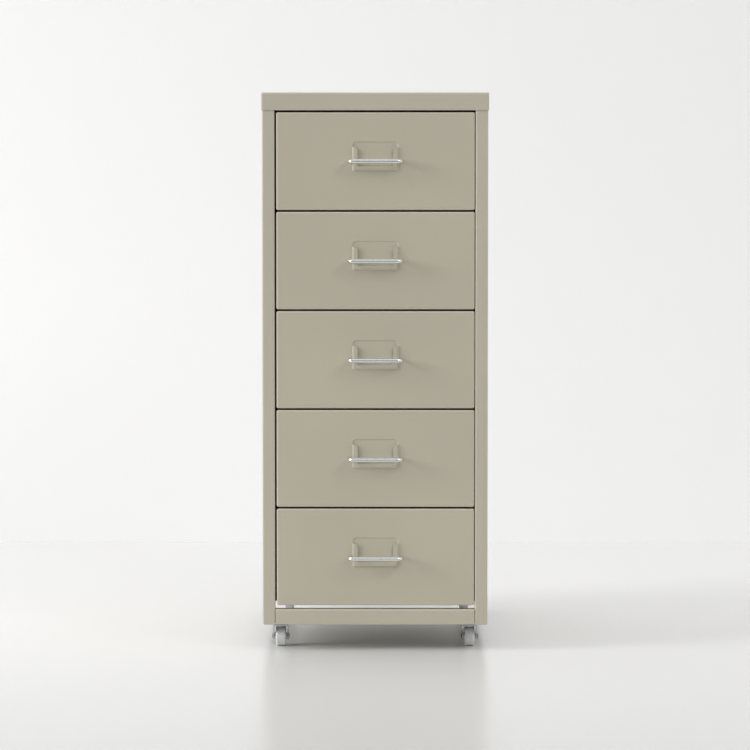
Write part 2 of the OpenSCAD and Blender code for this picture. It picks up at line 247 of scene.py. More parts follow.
def zinc_plate(name, light, dark, smooth, rough):
    """A metal clouded from light to dark by cells plus noise, scratched from smooth to rough."""
    material, shader = new_material(name)
    shader.inputs["Metallic"].default_value = 1.0
    place = add_node(material, "ShaderNodeTexCoord").outputs["Object"]
    cells = add_node(material, "ShaderNodeTexVoronoi", Vector=place, Scale=700.0)
    cloud = add_node(material, "ShaderNodeMath", _0=cells.outputs["Distance"], _1=noise(material, 300, 3))
    tint = mixed(material, ranged(material, cloud.outputs[0], 0.0, 1.0, 0.4, 1.1), light, dark)
    material.node_tree.links.new(tint, shader.inputs["Base Color"])
    scratches = noise(material, 1600, 2, stretch=(1, 1, 0.2))
    material.node_tree.links.new(ranged(material, scratches, smooth, rough), shader.inputs["Roughness"])
    bump(material, shader, scratches, 0.12, 0.00005)
    return material


pull_plate = bright_plate("pull_plate")
caster_zinc = zinc_plate("caster_zinc", linear(224, 226, 226), linear(206, 209, 210), 0.24, 0.36)
fastener_zinc = zinc_plate("fastener_zinc", linear(206, 206, 200), linear(170, 170, 164), 0.24, 0.4)
axle_steel = zinc_plate("axle_steel", linear(92, 92, 94), linear(58, 58, 60), 0.28, 0.46)

# %% [markdown]
# ## Wheel plastic
#
# The wheels are moulded in a pale, slightly translucent plastic. A little light goes into the
# surface and comes out again nearby, which is subsurface scattering with a radius of a
# millimetre or two. The tread has picked up fine scuffs, so its roughness varies.

# %% Wheel plastic
def moulded_plastic(name):
    """Pale plastic with subsurface scattering and fine scuffs."""
    material, shader = new_material(name)
    scuffs = noise(material, 800, 3, stretch=(1, 0.3, 0.3))
    tint = mixed(material, ranged(material, scuffs, 0.0, 1.0), linear(234, 236, 235), linear(224, 227, 226))
    material.node_tree.links.new(tint, shader.inputs["Base Color"])
    material.node_tree.links.new(ranged(material, scuffs, 0.28, 0.45), shader.inputs["Roughness"])
    shader.inputs["Subsurface Weight"].default_value = 0.5
    shader.inputs["Subsurface Radius"].default_value = (1.0, 1.0, 1.0)
    shader.inputs["Subsurface Scale"].default_value = 2.5 * MM
    bump(material, shader, scuffs, 0.08, 0.00004)
    return material


wheel_plastic = moulded_plastic("wheel_plastic")

# %% [markdown]
# ## From arrays to a mesh
#
# Every new piece is one or more grids of points. A grid has rows and columns, and a quad joins
# four neighbours, so all the faces follow from the row and column numbers, worked out as whole
# arrays. A closed grid joins its last column back to the first, and a cap closes a ring of
# points with one flat face.

# %% Grid helpers
def grid_faces(rows, columns, closed=False, looped=False):
    """Quads of a grid of points stored row by row, as an array of four point numbers a face.
    Closed joins the last column to the first, and looped joins the last row to the first."""
    row, column = np.meshgrid(np.arange(rows if looped else rows - 1),
                              np.arange(columns if closed else columns - 1), indexing="ij")
    below, beside = (row + 1) % rows, (column + 1) % columns
    here, there = row * columns, below * columns
    quads = [here + column, here + beside, there + beside, there + column]
    return np.stack(quads, axis=-1).reshape(-1, 4)


class Surface:
    """Points, faces and the painted edge-highlight weight of a piece, gathered grid by grid."""

    def __init__(self):
        self.points = np.empty((0, 3))
        self.edges = np.empty(0)
        self.faces = []

    def grid(self, points, closed=False, looped=False, flip=False, edge=0.0, cap_first=False, cap_last=False):
        """Adds a grid of shape (rows, columns, 3), with its end rows closed by flat faces if asked."""
        rows, columns = points.shape[:2]
        start = len(self.points)
        ring = np.arange(columns) + start
        faces = (grid_faces(rows, columns, closed, looped) + start).tolist()
        if cap_first:
            faces.append(ring[::-1].tolist())
        if cap_last:
            faces.append((ring + (rows - 1) * columns).tolist())
        self.faces += [face[::-1] for face in faces] if flip else faces
        self.points = np.concatenate([self.points, points.reshape(-1, 3)])
        self.edges = np.concatenate([self.edges, np.broadcast_to(edge, (rows, columns)).ravel()])
        return self

    def welded(self):
        """Makes points that lie within a micrometre of each other one point."""
        keys = np.round(self.points * 1e6).astype(int)
        first, same = np.unique(keys, axis=0, return_index=True, return_inverse=True)[1:]
        same = same.ravel()
        self.points, self.edges = self.points[first], self.edges[first]
        self.faces = [list(dict.fromkeys(same[face].tolist())) for face in self.faces]
        return self


def make_piece(name, surface, material, body, nodes, sharp=40.0):
    """A mesh object from a surface, with its material, its body and the nodes it stands for."""
    mesh = bpy.data.meshes.new(name)
    mesh.from_pydata(surface.points.tolist(), [], surface.faces)
    # Per-point weight of the painted highlight that the paint puts on folds and rims.
    attribute = mesh.attributes.new("edge", "FLOAT", "POINT")
    attribute.data.foreach_set("value", surface.edges.astype(np.float32))
    mesh.shade_smooth()
    mesh.set_sharp_from_angle(angle=math.radians(sharp))
    mesh.materials.append(material)
    mesh.validate()
    piece = add_object(name, mesh)
    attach(piece, body)
    if nodes:
        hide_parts(*nodes)
    print(f"{name}: {len(surface.points)} points, {len(surface.faces)} faces, rides {body}")
    return piece


def thicken(piece, thickness=SHEET, rim=0.18 * MM):
    """Gives a surface its thickness on the inner side, softens cut edges and evens the shading."""
    solidify = piece.modifiers.new("thickness", "SOLIDIFY")
    solidify.thickness = thickness
    solidify.offset = -1
    solidify.use_even_offset = True
    soften(piece, rim)


def soften(piece, width, segments=2):
    """Rounds every edge sharper than 50 degrees and weights the normals by face area."""
    bevel = piece.modifiers.new("rim", "BEVEL")
    bevel.width = width
    bevel.segments = segments
    bevel.limit_method = "ANGLE"
    bevel.angle_limit = math.radians(50)
    weighted = piece.modifiers.new("even_shading", "WEIGHTED_NORMAL")
    weighted.weight = 80


# %% [markdown]
# ## Outlines
#
# A folded edge seen end on is a line with round corners, and a pressed field is a rectangle
# with round corners. Both are worked out here once. `folded_line` walks along a path of right
# angles and puts a quarter circle at each corner, with an extra point just before and after it,
# so that the flat next to a fold stays flat in its shading. `round_rectangle` gives the same
# number of points for any size, so that outlines of different sizes can be joined into rings.

# %% Outlines
FOLD_STEPS = 8
FOLD_POINTS = FOLD_STEPS + 3                       # the arc and a point beside each end of it
FLAT_NEAR_FOLD = 0.4 * MM


def folded_line(corners, radius=FOLD):
    """Points along a path of right angles: each corner P becomes the arc centre + r (cos a, sin a).
    Also returns how near each point is to a fold, up to 1 on the arc and 0 on the flats."""
    corners = np.array(corners, float)
    points, fold = [corners[0]], [0.0]
    for before, corner, after in zip(corners[:-2], corners[1:-1], corners[2:]):
        into = (corner - before) / np.linalg.norm(corner - before)
        out = (after - corner) / np.linalg.norm(after - corner)
        angle = np.linspace(0, math.pi / 2, FOLD_STEPS + 1)[:, None]
        centre = corner - radius * into + radius * out
        arc = centre + radius * (np.sin(angle) * into - np.cos(angle) * out)
        points += [arc[0] - FLAT_NEAR_FOLD * into, *arc, arc[-1] + FLAT_NEAR_FOLD * out]
        # The fold weight also sets the painted edge highlight of the paint.
        fold += [0.0, *np.sin(2 * angle[:, 0]).clip(0.2, 1), 0.0]
    return np.array([*points, corners[-1]]), np.array([*fold, 0.0])


def round_rectangle(low, high, corner_below, corner_above, steps=6):
    """A rectangle's outline, anticlockwise from its lower right corner, with round corners."""
    quarter = np.linspace(0, math.pi / 2, steps + 1)
    arcs = []
    for turn, (x, z), radius in zip(
        range(-1, 3),
        ((high[0], low[1]), (high[0], high[1]), (low[0], high[1]), (low[0], low[1])),
        (corner_below, corner_above, corner_above, corner_below),
    ):
        angle = quarter + turn * math.pi / 2
        centre = np.array([x - radius * np.sign(x - sum((low[0], high[0])) / 2),
                           z - radius * np.sign(z - sum((low[1], high[1])) / 2)])
        arcs.append(centre + radius * np.stack([np.cos(angle), np.sin(angle)], -1))
    return np.concatenate(arcs)


def smooth_step(share):
    """0 to 1 with level ends: 3 s^2 - 2 s^3."""
    return share * share * (3 - 2 * share)


def strip(surface, line, fold, low, high, place, flip=False):
    """A folded line carried from low to high, which may differ from point to point."""
    low, high = np.broadcast_to(low, len(line)), np.broadcast_to(high, len(line))
    share = np.linspace(0, 1, 2)[:, None]
    along = low + share * (high - low)
    points = place(np.broadcast_to(line, (2, *line.shape)), along)
    return surface.grid(points, flip=flip, edge=fold)


def upward(xy, z):
    """Joins a section in X and Y with heights."""
    return np.concatenate([xy, z[..., None]], -1)


def sideways(yz, x):
    """Joins a section in Y and Z with places along X."""
    return np.concatenate([x[..., None], yz], -1)


# %% [markdown]
# ## Side panels
#
# A side panel is one sheet with three folds between four parts: the wall, the front edge that
# the drawers sit between, a fold back behind that edge, and a rear edge for the back panel. The
# path below is its section from above, and the strip carries it from the floor side up to the
# cap. At the front's lower corner the sheet is trimmed round, so the strip's lower end rises by
# a quarter circle near the fold.

# %% Side panels
CORNER_TRIM = 2.8 * MM
INNER_TRIM = CORNER_TRIM / 1.5                     # the same corner on the opening's side
RETURN_DEPTH = 14 * MM
REAR_EDGE = 14 * MM
TRIM_FADES = 8 * MM                                # how far behind the fold the trim runs out
WALL_EXTRA, FRONT_EXTRA = 6, 4                     # added points, so the trim has a round outline


def corner_rise(from_edge, radius):
    """Height of a round corner above its straight edge: r - sqrt(r^2 - (r - d)^2)."""
    inside = np.clip(radius - from_edge, 0, radius)
    return radius - np.sqrt(radius**2 - inside**2)


def side_panel(side):
    """One folded side sheet, with its lower front corner trimmed round."""
    sign = -1 if side == "left" else 1
    low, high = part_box(f"side_panel_{side}")
    line, fold = folded_line([
        [sign * (body_half - REAR_EDGE), high.y],
        [sign * body_half, high.y],
        [sign * body_half, low.y],
        [sign * opening_half, low.y],
        [sign * opening_half, low.y + RETURN_DEPTH],
    ])
    # More points on the front near the round corner, and on the wall just behind it
    wall_at, front_at = 1 + FOLD_POINTS, 1 + 2 * FOLD_POINTS
    wall_y = np.linspace(low.y + 12 * MM, low.y + 3 * MM, WALL_EXTRA)
    on_wall = np.stack([np.full(WALL_EXTRA, sign * body_half), wall_y], -1)
    near = np.linspace(body_half - 2.3 * MM, body_half - CORNER_TRIM, FRONT_EXTRA)
    on_front = np.stack([sign * near, np.full(FRONT_EXTRA, low.y)], -1)
    line = np.concatenate([line[:wall_at], on_wall, line[wall_at:front_at], on_front, line[front_at:]])
    fold = np.concatenate([fold[:wall_at], np.zeros(WALL_EXTRA), fold[wall_at:front_at],
                           np.zeros(FRONT_EXTRA), fold[front_at:]])
    behind = smooth_step(np.clip((line[:, 1] - low.y - FOLD) / TRIM_FADES, 0, 1))
    across = np.abs(line[:, 0])
    rise = corner_rise(body_half - across, CORNER_TRIM) + corner_rise(across - opening_half, INNER_TRIM)
    surface = strip(Surface(), line, fold, low.z + rise * (1 - behind), high.z, upward, flip=sign > 0)
    thicken(make_piece(f"side_sheet_{side}", surface, body_paint, "cabinet",
                       [f"side_panel_{side}"]))


for side in ("left", "right"):
    side_panel(side)

# %% [markdown]
# ## Rings of a pan
#
# The cap and the drawer fronts are shallow pans: a flat face with its four edges folded back.
# Such a pan is a stack of rings. Each ring is a round rectangle, a little smaller than the one
# before it and a little further out, so the ring's inset and depth draw the section of the pan.

# %% Pan rings
PAN_CORNER = 2.2 * MM


def pan_section(depth, radius=FOLD):
    """Inset and depth of each ring of a folded edge, from its free rim to the flat face, with each ring's
    painted-highlight weight.
    """
    angle = np.linspace(math.pi / 2, 0, FOLD_STEPS + 1)
    inset = [0, 0, *(radius * (1 - np.sin(angle))), radius + FLAT_NEAR_FOLD]
    back = [depth, radius + FLAT_NEAR_FOLD, *(radius * (1 - np.cos(angle))), 0]
    edge = [0, 0, *np.sin(2 * angle).clip(0.2, 1), 0]
    return np.array(inset), np.array(back), np.array(edge)


def pan_rings(low, high, insets, corner_below, corner_above):
    """One round rectangle for each inset, with corners that shrink as the inset grows."""
    return np.stack([
        round_rectangle((low[0] + d, low[1] + d), (high[0] - d, high[1] - d),
                        max(corner_below - d, 0.3 * MM), max(corner_above - d, 0.3 * MM))
        for d in insets
    ])


# %% Top cap
def top_cap():
    """The cap's pan, and the lip behind its front edge that closes the gap over the top drawer."""
    inset, back, edge = pan_section(cap_high.z - cap_low.z)
    rings = pan_rings((cap_low.x, cap_low.y), (cap_high.x, cap_high.y), inset, PAN_CORNER, PAN_CORNER)
    heights = np.broadcast_to((cap_high.z - back)[:, None, None], (*rings.shape[:2], 1))
    points = np.concatenate([rings, heights], -1)
    surface = Surface().grid(points, closed=True, edge=edge[:, None], cap_last=True)
    thicken(make_piece("cap_pan", surface, body_paint, "cabinet", ["top_cap"]))
    line, fold = folded_line([
        [cap_low.y + SHEET, cap_high.z - SHEET - 4 * MM],
        [cap_low.y + SHEET, cap_low.z],
        [cap_low.y + 10 * MM, cap_low.z],
    ], radius=1.2 * MM)
    lip_half = opening_half - 0.5 * MM
    surface = strip(Surface(), line, fold, -lip_half, lip_half, sideways)
    thicken(make_piece("cap_lip", surface, body_paint, "cabinet", []))


top_cap()

# %% [markdown]
# ## Bottom rails
#
# A rail is a C: a lip on top, the face, and a foot that the casters hang from, with its rear
# edge turned up. At the front the face fits between the side panels with a hairline seam, and
# the foot grows wider behind them.

# %% Bottom rails
RAIL_LIP = 12 * MM
RAIL_FOOT = 60 * MM
RAIL_SEAM = 0.35 * MM
FOOT_UPTURN = 6 * MM
TAB_FOOT = 14 * MM                                 # part of the foot that a tab carries on
TAB_HEIGHT = 14 * MM


def rail_line(face_y, inward):
    """Section of a rail in Y and Z. Inward is +1 at the front and -1 at the rear."""
    low, high = rail_low.z, rail_high.z
    return folded_line([
        [face_y + inward * RAIL_LIP, high],
        [face_y, high],
        [face_y, low],
        [face_y + inward * RAIL_FOOT, low],
        [face_y + inward * RAIL_FOOT, low + FOOT_UPTURN],
    ])


def end_tab(surface, x, y_from, y_to, height, inward_x):
    """A tab folded up from the end of a foot: foot edge, fold, upright."""
    line, fold = folded_line([
        [x - inward_x * TAB_FOOT, rail_low.z],
        [x, rail_low.z],
        [x, rail_low.z + height],
    ])
    strip(surface, line, fold, min(y_from, y_to), max(y_from, y_to),
          lambda xz, y: np.stack([xz[..., 0], y, xz[..., 1]], -1), flip=inward_x > 0)


def rail(end):
    """A C-shaped rail. The front one also has tabs at its ends and hems beside its face."""
    low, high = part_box(f"{end}_rail")
    inward = 1 if end == "front" else -1
    face_y = low.y if end == "front" else high.y
    half = opening_half - RAIL_SEAM if end == "front" else high.x
    line, fold = rail_line(face_y, inward)
    surface = strip(Surface(), line, fold, -half, half, sideways, flip=inward < 0)
    first = face_y + inward * (RETURN_DEPTH + 1 * MM)
    last = face_y + inward * (RAIL_FOOT - 2 * MM)
    for sign in (-1, 1):
        if end == "front":
            end_tab(surface, sign * high.x, first, last, TAB_HEIGHT, sign)
            line, fold = folded_line([[sign * (half - 8 * MM), face_y + SHEET],
                                      [sign * half, face_y + SHEET],
                                      [sign * half, face_y + RAIL_LIP]], radius=1.0 * MM)
            strip(surface, line, fold, low.z + SHEET, high.z - SHEET, upward, flip=sign < 0)
    thicken(make_piece(f"{end}_rail_sheet", surface, body_paint, "cabinet", [f"{end}_rail"]))


for end in ("front", "rear"):
    rail(end)

# %% [markdown]
# ## Drawer fronts
#
# The front is a pan with a pressed field in its middle. The field's wall is a soft S, two
# millimetres wide, so its rings follow a smooth step from the face down to the floor of the
# field. At the sides and the bottom the press also pushes lips forward, and a paper label
# slides in behind them. The lips are rings too, cut open at the top, with a round corner on
# each free end.

# %% Sizes of the pressed field
FIELD_W = 57.4 * MM
FIELD_H = 37.5 * MM
FIELD_TOP = 35.3 * MM                              # below the front's upper edge
FIELD_DEPTH = 0.8 * MM
FIELD_WALL = 2.2 * MM
LIP_TOP = 42.7 * MM                                # below the front's upper edge
LIP_W = 6.8 * MM
LIP_SLOPE = 2.5 * MM
LIP_PROUD = 1.8 * MM
LIP_CORNER = 5 * MM
LIP_SHEET = 0.7 * MM
FIELD_CORNER = 3 * MM                              # at the bottom of the field and of the lips
FIELD_UPPER_CORNER = 5.5 * MM
BACKED = 12 * MM                                   # depth of the front's folded edges


# %% Drawer fronts
def drawer_front(number):
    """The pan of a front and its pressed field as one run of rings, from rim to field floor."""
    low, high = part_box(f"drawer_front_{number}")
    inset, back, edge = pan_section(BACKED)
    outer = pan_rings((low.x, low.z), (high.x, high.z), inset, PAN_CORNER, PAN_CORNER)
    field_low = (drawer_x - FIELD_W / 2, high.z - FIELD_TOP - FIELD_H)
    field_high = (drawer_x + FIELD_W / 2, high.z - FIELD_TOP)
    share = np.linspace(0, 1, 9)
    wall = np.array([-0.5 * MM, *(share * FIELD_WALL), FIELD_WALL + 0.4 * MM])
    sunk = np.array([0, *(FIELD_DEPTH * smooth_step(share)), FIELD_DEPTH])
    inner = pan_rings(field_low, field_high, wall, FIELD_CORNER, FIELD_UPPER_CORNER)
    rings = np.concatenate([outer, inner])
    depth = front_y + np.concatenate([back, sunk])
    # Painted edge highlight on the folds; none on the pressed field.
    ring_highlight = np.concatenate([edge, np.zeros(len(wall))])
    y = np.broadcast_to(depth[:, None], rings.shape[:2])
    points = np.stack([rings[..., 0], y, rings[..., 1]], -1)
    surface = Surface().grid(points, closed=True, edge=ring_highlight[:, None], cap_last=True)
    return make_piece(f"front_sheet_{number}", surface, drawer_paint, f"drawer_{number}",
                      [f"drawer_front_{number}"], sharp=60.0)


def label_lips(number):
    """The U of lips: each ring runs down the left side, along the bottom and up the right side."""
    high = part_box(f"drawer_front_{number}")[1]
    bottom, top = high.z - FIELD_TOP - FIELD_H, high.z - LIP_TOP
    slope = np.linspace(0, 1, 7)
    flat = LIP_W - LIP_CORNER * (1 - np.sin(np.linspace(0, math.pi / 2, 9)))
    inset = np.array([-0.4 * MM, *(slope * LIP_SLOPE), *flat])
    proud = np.array([0.15 * MM, *(-LIP_PROUD * smooth_step(slope)), *np.full(len(flat), -LIP_PROUD)])
    over = np.clip(inset - (LIP_W - LIP_CORNER), 0, LIP_CORNER)
    drop = LIP_CORNER - np.sqrt(LIP_CORNER**2 - over**2)
    order = np.argsort(inset, kind="stable")
    rows = []
    for d, y, cut in zip(inset[order], proud[order], drop[order]):
        radius = max(FIELD_CORNER - d, 0.3 * MM)
        half = FIELD_W / 2 - d
        angle = np.linspace(math.pi, 1.5 * math.pi, 9)
        centre = np.array([-half + radius, bottom + d + radius])
        left = centre + radius * np.stack([np.cos(angle), np.sin(angle)], -1)
        right = left[::-1] * [-1, 1]
        side = np.linspace(top - cut, left[0, 1], 6)[:-1]
        down = np.stack([np.full(5, -half), side], -1)
        line = np.concatenate([down, left, right, down[::-1] * [-1, 1]])
        rows.append(np.stack([line[:, 0] + drawer_x, np.full(len(line), front_y + y), line[:, 1]], -1))
    surface = Surface().grid(np.stack(rows))
    piece = make_piece(f"label_lips_{number}", surface, drawer_paint, f"drawer_{number}", [],
                       sharp=60.0)
    thicken(piece, thickness=LIP_SHEET, rim=0.12 * MM)


for number in DRAWERS:
    thicken(drawer_front(number))
    label_lips(number)

# %% [markdown]
# ## Wire pulls
#
# A pull is one length of bright wire bent twice. Its axis is a line with two quarter circles,
# and a circle is carried along it. At every point of the axis the circle lies in the plane of
# two directions: straight up, and sideways to the axis, so the tube never twists.

# %% Wire pulls
PULL_BEND = 6 * MM
WIRE_SIDES = 32


def wire_pull(number):
    """Each ring is axis + r (cos a across + sin a up)."""
    low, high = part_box(f"pull_{number}")
    radius = (high.z - low.z) / 2
    half = (high.x - low.x) / 2 - radius
    bar_y = low.y + radius
    angle = np.linspace(0, math.pi / 2, 17)
    bend = np.stack([-half + PULL_BEND * (1 - np.cos(angle)), bar_y + PULL_BEND * (1 - np.sin(angle))], -1)
    leg = np.linspace(front_y, bar_y + PULL_BEND, 5)[:-1]
    left = np.concatenate([np.stack([np.full(4, -half), leg], -1), bend])
    axis = np.concatenate([left, left[::-1] * [-1, 1]])
    along = np.gradient(axis, axis=0)
    along /= np.linalg.norm(along, axis=1)[:, None]
    across = np.stack([along[:, 1], -along[:, 0]], -1)
    turn = np.linspace(0, 2 * math.pi, WIRE_SIDES, endpoint=False)
    side = radius * np.cos(turn)[None, :, None] * across[:, None, :]
    rise = np.broadcast_to(radius * np.sin(turn)[None, :, None], (len(axis), WIRE_SIDES, 1))
    points = np.concatenate([axis[:, None, :] + side, rise], -1)
    points += [drawer_x, 0, (low.z + high.z) / 2]
    surface = Surface().grid(points, closed=True, cap_first=True, cap_last=True)
    make_piece(f"wire_pull_{number}", surface, pull_plate, f"drawer_{number}",
               [f"pull_{number}"])


for number in DRAWERS:
    wire_pull(number)

# %% [markdown]
# ## Turned pieces
#
# Wheels, rivets, stems, nuts and screws are turned: a profile of radii and places along an
# axis, carried once round that axis. The radius may also depend on the angle, which makes a
# hexagon or a thread from the same grid. A hexagon's radius is its half width divided by the
# cosine of the angle to the nearest flat. A thread's radius rises and falls with the angle less
# the turns made so far.

# %% Turned shapes
ROUND = np.linspace(0, 2 * math.pi, 48, endpoint=False)
AXES = {"x": (1, 2, 0), "y": (2, 0, 1), "z": (0, 1, 2)}


def turned(surface, radius, along, axis, centre, looped=False, flip=False, capped=True):
    """Carries radius, of shape (rows,) or (rows, angles), round an axis through centre."""
    radius = np.broadcast_to(np.asarray(radius, float).reshape(len(along), -1), (len(along), len(ROUND)))
    points = np.empty((*radius.shape, 3))
    first, second, third = AXES[axis]
    points[..., first] = radius * np.cos(ROUND)
    points[..., second] = radius * np.sin(ROUND)
    points[..., third] = np.asarray(along, float)[:, None]
    points += np.array(centre)
    capped = capped and not looped
    return surface.grid(points, closed=True, looped=looped, flip=flip, cap_first=capped, cap_last=capped)


def hexagon(half_width):
    """Radius of a hexagon at each angle: h / cos(distance to the nearest flat's middle)."""
    return half_width / np.cos((ROUND + math.pi / 6) % (math.pi / 3) - math.pi / 6)


def thread(radius, depth, pitch, along):
    """Radius of a thread: r - depth (1 - cos(angle - 2 pi z / pitch)) / 2."""
    return radius - depth * (1 - np.cos(ROUND - 2 * math.pi * np.asarray(along)[:, None] / pitch)) / 2


def middle(low, high):
    """The middle of a box as an array."""
    return (np.array(low) + np.array(high)) / 2


# %% [markdown]
# ## Caster wheels
#
# The wheel is moulded: a crowned tread with soft shoulders, a thin web between rim and hub, and
# six ribs on the web. The hub is long, so it runs close to both legs of the fork. The profile
# is a closed loop from the bore round the right side to the left side, and the ribs are added
# to the web's thickness by a power of a cosine.

# %% Caster wheels
RIB_HEIGHT = 1.3 * MM


def caster_wheel(corner):
    """A closed profile turned about X. A rib adds h (cos 3a)^24 where the profile is web."""
    low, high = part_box(f"caster_wheel_{corner}")
    outer, hub_half = (high.z - low.z) / 2, (high.x - low.x) / 2
    tread_half = 6.1 * MM
    across = np.linspace(1, 0, 9)
    tread = np.stack([outer - 1.1 * MM * across**8, tread_half * across], -1)
    web = np.stack([np.linspace(4.9 * MM, 8.7 * MM, 6), np.full(6, 2.0 * MM)], -1)
    side = np.array([[2.06, 7.95], [3.6, 7.95], [4.0, 7.8], [4.2, 7.4], [4.3, 2.9], [4.5, 2.3]]) * MM
    rim = np.array([[9.2, 2.3], [9.5, 3.0], [9.6, 5.5], [9.8, 6.0], [10.2, 6.1]]) * MM
    side[:3, 1] += hub_half - 7.95 * MM
    half = np.concatenate([side, web, rim, tread])
    profile = np.concatenate([half, half[-2::-1] * [1, -1]])
    radius = np.broadcast_to(profile[:, :1], (len(profile), len(ROUND)))
    on_web = np.exp(-(((profile[:, 0] - 6.8 * MM) / (1.9 * MM)) ** 4)) * (np.abs(profile[:, 1]) < 2.1 * MM)
    rib = RIB_HEIGHT * on_web[:, None] * np.cos(3 * ROUND) ** 24 * np.sign(profile[:, 1:])
    points = np.empty((*radius.shape, 3))
    points[..., 0] = profile[:, 1:] + rib
    points[..., 1] = radius * np.cos(ROUND)
    points[..., 2] = radius * np.sin(ROUND)
    surface = Surface().grid(points + middle(low, high), closed=True, looped=True)
    make_piece(f"wheel_{corner}", surface, wheel_plastic, f"wheel_{corner}",
               [f"caster_wheel_{corner}"], sharp=50)


for corner in CASTERS:
    caster_wheel(corner)

# %% [markdown]
# ## Caster forks
#
# A fork is pressed from one strip: down the left leg, over the crown and down the right leg.
# The strip's front and rear limits change along it. They follow a round boss at the axle and
# open out towards the crown. Over the crown the strip is slit and opened round the swivel pin,
# so it is made as a front half and a rear half that part along a circle.

# %% Caster forks
BOSS = 5.2 * MM
PIN_HOLE = 3.05 * MM
CROWN_BEND = 2.6 * MM
FORK_SHEET = 1.2 * MM


def caster_fork(corner):
    """Legs and crown as one strip, whose front and rear limits follow the boss and the pin hole."""
    low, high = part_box(f"caster_fork_{corner}")
    axle = middle(*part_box(f"caster_axle_{corner}"))
    pin = middle(*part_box(f"caster_stem_{corner}"))
    half, top, bend = (high.x - low.x) / 2, high.z, CROWN_BEND
    boss_z = axle[2] - BOSS * np.cos(np.linspace(0.1, math.pi / 2, 9))
    leg_z = np.concatenate([boss_z, np.linspace(axle[2], top - bend, 9)[1:]])
    angle = np.linspace(0, math.pi / 2, 9)[1:]
    arc_x = half - bend * (1 - np.cos(angle))
    arc_z = top - bend * (1 - np.sin(angle))
    hole_x = PIN_HOLE * np.cos(np.linspace(0, math.pi / 2, 9))
    right_x = np.concatenate([np.full(len(leg_z), half), arc_x, [5.2 * MM, 4 * MM], hole_x])
    right_z = np.concatenate([leg_z, arc_z, np.full(len(hole_x) + 2, top)])
    x = np.concatenate([right_x, -right_x[-2::-1]])
    z = np.concatenate([right_z, right_z[-2::-1]])
    below = np.sqrt(np.maximum(BOSS**2 - np.minimum(z - axle[2], 0) ** 2, 0))
    rise = np.clip((z - axle[2]) / (top - 5 * MM - axle[2]), 0, 1)
    front = axle[1] - below + (pin[1] - 8.6 * MM - axle[1] + BOSS) * rise**1.5
    rear = axle[1] + below - (axle[1] + BOSS - pin[1] - 11.5 * MM) * smooth_step(rise)
    opening = np.sqrt(np.maximum(PIN_HOLE**2 - np.minimum(np.abs(x), PIN_HOLE) ** 2, 0)) * (z > top - 1e-6)
    centre = axle[1] + (pin[1] - axle[1]) * rise
    surface = Surface()
    for edge_y, mid_y in ((front, centre - opening), (rear, centre + opening)):
        share = np.linspace(0, 1, 5)[:, None]
        points = np.empty((5, len(x), 3))
        points[..., 0] = pin[0] + x
        points[..., 1] = edge_y + share * (mid_y - edge_y)
        points[..., 2] = z
        surface.grid(points, flip=edge_y is front)
    piece = make_piece(f"fork_sheet_{corner}", surface.welded(), caster_zinc, f"fork_{corner}",
                       [f"caster_fork_{corner}"])
    thicken(piece, thickness=FORK_SHEET, rim=0.2 * MM)


for corner in CASTERS:
    caster_fork(corner)

# %% [markdown]
# ## Axles and stems
#
# The axle is a rivet with a domed head at each end. The stem is one turned part from below: a
# domed pin head, the swivel pin, a rounded collar that hides the ball race, a hexagon for the
# spanner and a metric thread.

# %% Axles and stems
HEX_HALF = 6.5 * MM                                # half of a 13 mm spanner


def axle_rivet(corner):
    """A rivet along X with a dome on each end, mirrored about its middle."""
    low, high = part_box(f"caster_axle_{corner}")
    reach, head = (high.x - low.x) / 2, (high.z - low.z) / 2
    neck = reach - 1.1 * MM
    dome = np.linspace(0.1, 1, 6) * math.pi / 2
    profile = np.concatenate([
        np.stack([head * np.sin(dome), neck + 0.35 * MM + 0.75 * MM * np.cos(dome)], -1),
        [[head, neck + 0.02 * MM], [2 * MM, neck]],
    ])
    profile = np.concatenate([profile, profile[::-1] * [1, -1]])
    surface = turned(Surface(), profile[::-1, 0], profile[::-1, 1], "x", middle(low, high))
    make_piece(f"axle_rivet_{corner}", surface, axle_steel, f"fork_{corner}",
               [f"caster_axle_{corner}"])


def threaded_stem(corner):
    """Pin head, swivel pin, collar, hexagon and thread, from the floor side up."""
    low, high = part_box(f"caster_stem_{corner}")
    collar, foot_z = (high.x - low.x) / 2, rail_low.z
    pin_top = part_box(f"caster_fork_{corner}")[1].z
    plain = np.array([
        [0.4, low.z / MM], [3.4, low.z / MM + 0.1], [4.6, low.z / MM + 0.4], [5.0, low.z / MM + 0.9],
        [5.0, pin_top / MM - 1.25], [3.0, pin_top / MM - 1.2], [3.0, pin_top / MM + 0.05],
        [collar / MM - 0.6, pin_top / MM + 0.05], [collar / MM, pin_top / MM + 0.6],
        [collar / MM, foot_z / MM - 3.2], [collar / MM - 1.2, foot_z / MM - 2.1], [7.4, foot_z / MM - 2.0],
    ]) * MM
    hexed = np.minimum(hexagon(HEX_HALF), 7.4 * MM)
    chamfered = np.minimum(hexagon(HEX_HALF), 6.9 * MM)
    screw_z = np.arange(foot_z + 0.2 * MM, high.z - 0.6 * MM, 0.125 * MM)
    screw = thread(4 * MM, 0.65 * MM, 1.25 * MM, screw_z)
    radius = np.concatenate([
        np.repeat(plain[:, :1], len(ROUND), axis=1), [hexed, hexed, chamfered],
        screw, np.full((2, len(ROUND)), 3.0 * MM) * [[1], [0.1]],
    ])
    hex_z = foot_z - np.array([1.9, 0.35, 0.05]) * MM
    along = np.concatenate([plain[:, 1], hex_z, screw_z, [high.z, high.z]])
    surface = turned(Surface(), radius, along, "z", (*middle(low, high)[:2], 0))
    make_piece(f"stem_{corner}", surface, caster_zinc, "cabinet",
               [f"caster_stem_{corner}"], sharp=35)


